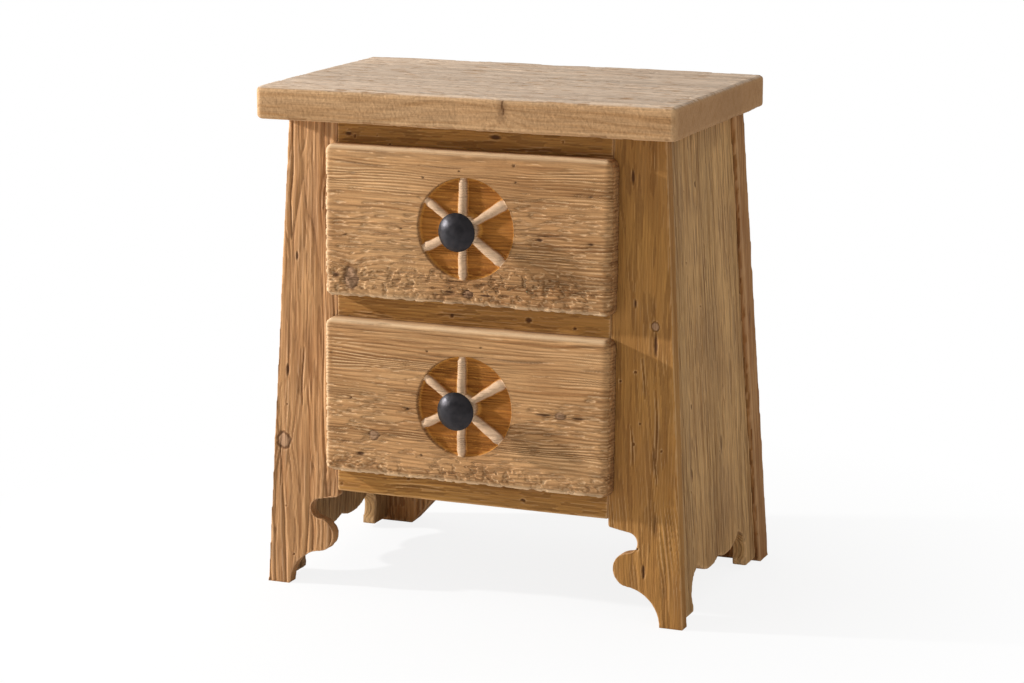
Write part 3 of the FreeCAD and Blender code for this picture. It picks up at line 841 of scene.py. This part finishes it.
def frontOutline(halfWidth, halfHeight, corner, count, seed):
    # evenly spaced places round a rectangle with rounded, slightly uneven corners and edges
    corners = []
    for centreX, centreZ, start in ((halfWidth - corner, halfHeight - corner, 0),
                                    (-halfWidth + corner, halfHeight - corner, 90),
                                    (-halfWidth + corner, -halfHeight + corner, 180),
                                    (halfWidth - corner, -halfHeight + corner, 270)):
        for turn in np.linspace(start, start + 90, 9):
            angle = math.radians(turn)
            corners.append((centreX + corner * math.cos(angle), centreZ + corner * math.sin(angle)))
    loop = np.array(corners + corners[:1])
    steps = np.concatenate([[0], np.cumsum(np.linalg.norm(np.diff(loop, axis=0), axis=1))])
    marks = np.linspace(0, steps[-1], count, endpoint=False)
    outline = np.stack([np.interp(marks, steps, loop[:, 0]), np.interp(marks, steps, loop[:, 1])], axis=1)
    ripple = 0.42 * (1 + fractalNoise(marks / 34, marks * 0, seed, 3))
    onEnd = smoothStep(halfWidth - 6, halfWidth - 2, np.abs(outline[:, 0]))
    ripple = ripple + onEnd * 0.25 * (1 + valueNoise(marks / 3.1, marks * 0, seed + 9))
    return outline * (1 - ripple / np.linalg.norm(outline, axis=1))[:, None]


def rimFacing(rim):
    # outward directions along the rim, smoothed so that the bevel stays even round the corners
    along = np.roll(rim, -3, axis=0) - np.roll(rim, 3, axis=0)
    facing = np.stack([along[:, 1], -along[:, 0]], axis=1)
    for _ in range(8):
        facing = (np.roll(facing, -1, axis=0) + facing + np.roll(facing, 1, axis=0)) / 3
    facing = facing / np.linalg.norm(facing, axis=1)[:, None]
    return facing * np.sign((facing * rim).sum(axis=1))[:, None]


def rosetteDepth(x, z, look):
    # the carved depth, and how far each place belongs to the disc, its floor and its raised parts
    radius = np.hypot(x, z)
    fromX = x - look["starX"]
    fromZ = z - look["starZ"]
    angle = np.arctan2(fromX, fromZ)
    spokes = np.array(look["spokes"])
    sector = 2 * math.pi / len(spokes)
    nearest = np.round(angle / sector).astype(int) % len(spokes)
    turned = angle + np.radians(spokes[nearest, 0])
    fromSpoke = (turned + sector / 2) % sector - sector / 2
    share = np.clip(radius / look["radius"], 0, 1)
    bend = 0.5 * valueNoise(radius / 9, nearest * 3.3, 15)
    sideways = np.abs(np.hypot(fromX, fromZ) * np.sin(fromSpoke) + bend)
    swell = spokes[nearest, 1] / 2 * (1 + spokes[nearest, 2] * (share - 0.5))
    swell = swell * (1 - 0.25 * smoothStep(0.9, 1.0, share))
    spoke = smoothStep(swell + 0.7, swell - 0.7, sideways)
    hub = smoothStep(look["hub"] + 0.8, look["hub"] - 0.8, radius)
    kept = np.maximum(spoke, hub)
    crown = look["spokeDrop"] + look["spokeRound"] * np.clip(sideways / swell, 0, 1) ** 2
    crown = crown + 0.5 * valueNoise(radius / 11, nearest * 5.1, 25) + 1.4 * smoothStep(0.88, 1.0, share)
    floor = look["depth"] - 0.3 * (1 + valueNoise(x / 16, z / 2.6, 5))
    depth = kept * np.where(hub > 0.5, look["hubDrop"], crown) + (1 - kept) * floor
    inside = smoothStep(look["radius"] + 0.15, look["radius"] - 0.55, radius)
    return depth * inside, inside, (1 - kept) * inside, kept * inside


def frontBoard(node):
    # how far the board leans, from the normals of its flat face, and its box when stood upright
    facing = normalsOf(nodes[node].data)
    ahead = facing[facing[:, 1] < -0.99].mean(axis=0)
    lean = math.asin(ahead[2] / np.linalg.norm(ahead))
    turn = np.array([[1, 0, 0], [0, math.cos(lean), -math.sin(lean)], [0, math.sin(lean), math.cos(lean)]])
    upright = pointsOf(nodes[node].data) @ turn.T
    return lean, turn, upright.min(axis=0), upright.max(axis=0)


def frontRings(rim, thickness, look):
    # rings from the middle of the disc out to the rim and round the bevel to the back, and how
    # far each lies below the face
    heading = rim / np.linalg.norm(rim, axis=1)[:, None]
    rings = []
    drops = []
    inner = np.linspace(frontGrid["firstInside"], frontGrid["lastInside"], frontGrid["inside"])
    for radius in np.concatenate([inner, [frontGrid["wallFoot"]]]):
        rings.append(heading * radius)
        drops.append(0)
    start = heading * (rosetteLook["radius"] + frontGrid["wallSpread"])
    inset = rim - look["edgeWide"] * rimFacing(rim)
    for share in np.linspace(0, 1, frontGrid["outside"]) ** frontGrid["crowding"]:
        rings.append(start * (1 - share) + inset * share)
        drops.append(0)
    for degrees in frontGrid["bevelTurns"]:
        angle = math.radians(degrees)
        rings.append(inset + (rim - inset) * math.sin(angle))
        drops.append(look["edgeDeep"] * (1 - math.cos(angle)))
    for share in frontGrid["edgeShares"]:
        rings.append(rim.copy())
        drops.append(look["edgeDeep"] + (thickness - look["edgeDeep"]) * share)
    return np.array(rings), np.array(drops)


def ringFaces(rows, count):
    # quads between the rings, and a fan of triangles at the middle of the face and of the back
    faces = []
    for row in range(rows - 1):
        inner = row * count
        outer = inner + count
        for k in range(count):
            after = (k + 1) % count
            faces.append((inner + k, inner + after, outer + after, outer + k))
    front = rows * count
    last = front - count
    for k in range(count):
        after = (k + 1) % count
        faces.append((front, after, k))
        faces.append((front + 1, last + k, last + after))
    return faces


def makeFront(level):
    node = level + "_drawer_front"
    look = frontLooks[level]
    count = frontGrid["stations"]
    edgeRound = look["edgeDeep"]
    lean, turn, low, high = frontBoard(node)
    centreZ = (low[2] + high[2]) / 2
    halfWidth = (high[0] - low[0]) / 2
    halfHeight = (high[2] - low[2]) / 2
    thickness = high[1] - low[1]
    rim = frontOutline(halfWidth, halfHeight, look["corner"], count, look["seed"])
    rings, drops = frontRings(rim, thickness, look)
    flatX = rings[:, :, 0].ravel()
    flatZ = rings[:, :, 1].ravel()
    drop = np.repeat(drops, count)
    wornDepth, stainsAndShading = woodSurface(flatX, flatZ, look, look["knots"])
    carved, inside, floorMask, spokeMask = rosetteDepth(flatX, flatZ, rosetteLook)

    onFace = smoothStep(thickness, edgeRound, drop)
    push = wornDepth * onFace * (1 - inside * 0.85)
    y = low[1] + drop + push * smoothStep(edgeRound * 1.2, 0, drop) + carved
    shrink = push * smoothStep(0, edgeRound, drop) * 0.9
    scale = 1 - shrink / np.hypot(flatX, flatZ)
    points = np.stack([flatX * scale, y, centreZ + flatZ * scale], axis=1)
    middle = np.array([[0.0, low[1] + rosetteLook["hubDrop"], centreZ], [0.0, high[1], centreZ]])
    points = np.concatenate([points, middle])

    # the edges that face the light are made pale and lighter in tone, partly wear and partly painted
    # highlight; the right-hand ends, turned from the light, are not
    facingAwayFromLight = np.tile(rimFacing(rim)[:, 0], len(rings))
    rubbedAndHighlit = smoothStep(0.2, 2.0, drop) * onFace * smoothStep(0.7, 0.1, facingAwayFromLight)
    stainsAndShading["cavity"] = stainsAndShading["cavity"] * (1 - inside)
    stainsAndShading["knot"] = stainsAndShading["knot"] * (1 - floorMask)
    stainsAndShading["heartAndHoleShade"] = stainsAndShading["heartAndHoleShade"] * (1 - inside)
    stainsAndShading["carved"] = floorMask
    stainsAndShading["spoke"] = spokeMask
    # tone and end carry the pale of the light-facing edges: partly wear, partly painted highlight
    stainsAndShading["tone"] = 0.2 * valueNoise(flatX / 90, flatZ / 30, look["seed"] + 3) + 0.6 * rubbedAndHighlit
    stainsAndShading["end"] = rubbedAndHighlit
    stainsAndShading = {key: np.concatenate([values, values[:1], values[-1:]]) for key, values in stainsAndShading.items()}
    faces = ringFaces(len(rings), count)
    piece = makeObject(level + "Front", points @ turn, faces, stainsAndShading)
    markRelief(piece.data)
    dress(piece, frontMaterial(level + "FrontWood", look))
    finish(piece, node, level + "_drawer")
    print("made the", level, "drawer front:", len(faces), "faces, leaning", round(math.degrees(lean), 2))


def frontMaterial(name, look):
    # paler spokes on a deeper-coloured ground
    material = woodMaterial(name, look)
    tree = material.node_tree
    colourInput, _ = woodSockets(tree)
    colour = colourInput.links[0].from_socket
    mixed = stained(tree, colour, "spoke", rosetteLook["paleShare"], rosetteLook["pale"])
    deep = mixColours(tree, 1.0, colour, rosetteLook["floorStain"], "MULTIPLY")
    tree.links.new(mixColours(tree, stain(tree, "carved"), mixed, deep), colourInput)
    return material


# knobs

knobLook = {
    "slot": "knob_iron",
    "fineness": 0.55,
    "softness": 1,
    "dents": 0.16,
    "dentSize": 5,
    "dentSeed": 8,
    "dark": srgb(40, 38, 41),
    "light": srgb(54, 51, 54),
    "rough": (0.32, 0.46),
    "metallic": 0.75,
}


def makeKnob(level, material):
    look = knobLook
    node = level + "_knob"
    piece = remeshedCopy(level + "Knob", node, look)
    points = pointsOf(piece.data)
    normals = normalsOf(piece.data)
    centre = (points.min(axis=0) + points.max(axis=0)) / 2
    place = (points - centre) / look["dentSize"] + 9
    dents = 0.5 + 0.5 * fractalNoise(place[:, 0], place[:, 2], look["dentSeed"], 2)
    setPoints(piece.data, points - normals * (look["dents"] * dents)[:, None])
    dress(piece, material)
    finish(piece, node, level + "_drawer")


def ironMaterial():
    look = knobLook
    material, tree = newMaterial("burnishedIron")
    place = objectPlace(tree)
    cloud = noiseNode(tree, place, 120.0, 4.0)
    grit = noiseNode(tree, place, 900.0, 3.0)
    bump = addNode(tree, "ShaderNodeBump", {"Height": grit, "Strength": 0.25, "Distance": 0.0003})
    showShader(tree, "ShaderNodeBsdfPrincipled", {
        "Base Color": mixColours(tree, rangeNode(tree, cloud, 0.35, 0.65), look["dark"], look["light"]),
        "Roughness": rangeNode(tree, cloud, 0.3, 0.7, look["rough"][0], look["rough"][1]),
        "Metallic": look["metallic"],
        "Normal": bump.outputs[0],
    })
    return material


# the pieces that stay as they are get a finish

plainLook = dict(
    baseLook, worn=False, lineStrength=0.6, fibre=(0.7, 1.14), bump=0.45,
    light=srgb(208, 170, 120), dark=srgb(166, 120, 74), aged=srgb(184, 140, 92),
)
screwLook = {
    "dark": srgb(150, 150, 150),
    "light": srgb(196, 194, 188),
    "rough": (0.3, 0.5),
}


def steelMaterial():
    look = screwLook
    material, tree = newMaterial("zincSteel")
    cloud = noiseNode(tree, objectPlace(tree), 700.0, 3.0)
    showShader(tree, "ShaderNodeBsdfPrincipled", {
        "Base Color": mixColours(tree, cloud, look["dark"], look["light"]),
        "Roughness": rangeNode(tree, cloud, 0.3, 0.7, look["rough"][0], look["rough"][1]),
        "Metallic": 1.0,
    })
    return material


def dressPlain():
    # wood with its grain along the longest side of each piece, and steel for the screws
    finishes = {
        "X": woodMaterial("plainWoodX", dict(plainLook, grain="X", bands="Z")),
        "Y": woodMaterial("plainWoodY", dict(plainLook, grain="Y", bands="Z")),
        "Z": woodMaterial("plainWoodZ", dict(plainLook, grain="Z", bands="X")),
    }
    steel = steelMaterial()
    for name, piece in nodes.items():
        if name in made:
            continue
        if "screw" in name:
            chosen = steel
        else:
            low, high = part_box(name)
            sizes = [high[axis] - low[axis] for axis in range(3)]
            chosen = finishes["XYZ"[sizes.index(max(sizes))]]
        for slot in piece.material_slots:
            slot.material = chosen


# studio

studioLook = {
    "cameraPlace": (1.2389, -3.0696, 0.9941),   # metres
    "cameraTurn": (77.83, 0.0, 22.03),
    "lens": 102.2,
    "keyDirection": (-0.89, -0.274, 0.354),
    "keyDistance": 3.0,                         # metres
    "keySize": 0.15,                            # metres
    "keyPower": 112.0,                          # watts
    "fill": 0.53,                               # strength of the soft light from all round
    "room": (1.0, 0.98, 0.95, 1.0),
    "white": (1.0, 1.0, 1.0, 1.0),
    "floorReach": 6.0,                          # metres
    "floorColour": (0.9, 0.9, 0.9, 1.0),
    "floorFade": (0.3, 0.75),                   # metres from the middle, over which it turns white
    "floorWhite": 0.86,                         # how white it already is under the nightstand
}


def placeCamera():
    look = studioLook
    cameraData = bpy.data.cameras.new("camera")
    cameraData.lens = look["lens"]
    camera = bpy.data.objects.new("camera", cameraData)
    camera.location = look["cameraPlace"]
    camera.rotation_euler = [math.radians(angle) for angle in look["cameraTurn"]]
    bpy.context.scene.collection.objects.link(camera)
    bpy.context.scene.camera = camera


def placeKeyLight():
    look = studioLook
    low, high = startBox
    middle = np.array([(low[axis] + high[axis]) / 2 for axis in range(3)])
    direction = np.array(look["keyDirection"]) / np.linalg.norm(look["keyDirection"])
    keyData = bpy.data.lights.new("key", "AREA")
    keyData.shape = "DISK"
    keyData.size = look["keySize"]
    keyData.energy = look["keyPower"]
    key = bpy.data.objects.new("key", keyData)
    key.location = middle + direction * look["keyDistance"]
    key.rotation_euler = Vector(direction).to_track_quat("Z", "Y").to_euler()
    bpy.context.scene.collection.objects.link(key)


def makeRoom():
    # soft light from all round, and plain white behind the nightstand
    look = studioLook
    world = bpy.data.worlds.new("studio")
    world.use_nodes = True
    tree = world.node_tree
    tree.nodes.clear()
    rays = addNode(tree, "ShaderNodeLightPath")
    room = addNode(tree, "ShaderNodeBackground", {"Color": look["room"], "Strength": look["fill"]})
    backdrop = addNode(tree, "ShaderNodeBackground", {"Color": look["white"], "Strength": 1.0})
    inputs = {0: rays.outputs["Is Camera Ray"], 1: room.outputs[0], 2: backdrop.outputs[0]}
    mix = addNode(tree, "ShaderNodeMixShader", inputs)
    addNode(tree, "ShaderNodeOutputWorld", {"Surface": mix.outputs[0]})
    bpy.context.scene.world = world


def makeFloor():
    # a pale floor that turns white further out and keeps a faint shadow
    look = studioLook
    reach = look["floorReach"]
    corners = [(-reach, -reach, 0), (reach, -reach, 0), (reach, reach, 0), (-reach, reach, 0)]
    mesh = bpy.data.meshes.new("floor")
    mesh.from_pydata(corners, [], [(0, 1, 2, 3)])
    floor = bpy.data.objects.new("floor", mesh)
    bpy.context.scene.collection.objects.link(floor)
    material, tree = newMaterial("paleFloor")
    rays = addNode(tree, "ShaderNodeLightPath")
    matte = addNode(tree, "ShaderNodeBsdfDiffuse", {"Color": look["floorColour"]})
    glow = addNode(tree, "ShaderNodeEmission", {"Color": look["white"], "Strength": 1.0})
    away = addNode(tree, "ShaderNodeVectorMath", {0: objectPlace(tree)}, operation="LENGTH")
    near, far = look["floorFade"]
    white = rangeNode(tree, away.outputs["Value"], near, far, look["floorWhite"], 1.0)
    share = mathNode(tree, "MULTIPLY", rays.outputs["Is Camera Ray"], white)
    showShader(tree, "ShaderNodeMixShader", {0: share, 1: matte.outputs[0], 2: glow.outputs[0]})
    mesh.materials.append(material)


# build everything

makeTop()
print("made the top slab")
for node, look in stileLooks.items():
    makeStile(node, look)
for side in ("left", "right"):
    makeBackStile("back_stile_" + side)
    makePanel(side)
print("made the stiles and side panels")
for level in railLooks:
    makeRail(level)
print("made the rails")
iron = ironMaterial()
for level in ("upper", "lower"):
    makeFront(level)
    makeKnob(level, iron)
print("made the knobs")
dressPlain()
print("gave the plain pieces their finish")
bpy.context.scene.view_settings.view_transform = "Standard"
placeCamera()
placeKeyLight()
makeRoom()
makeFloor()
print("set up the studio")
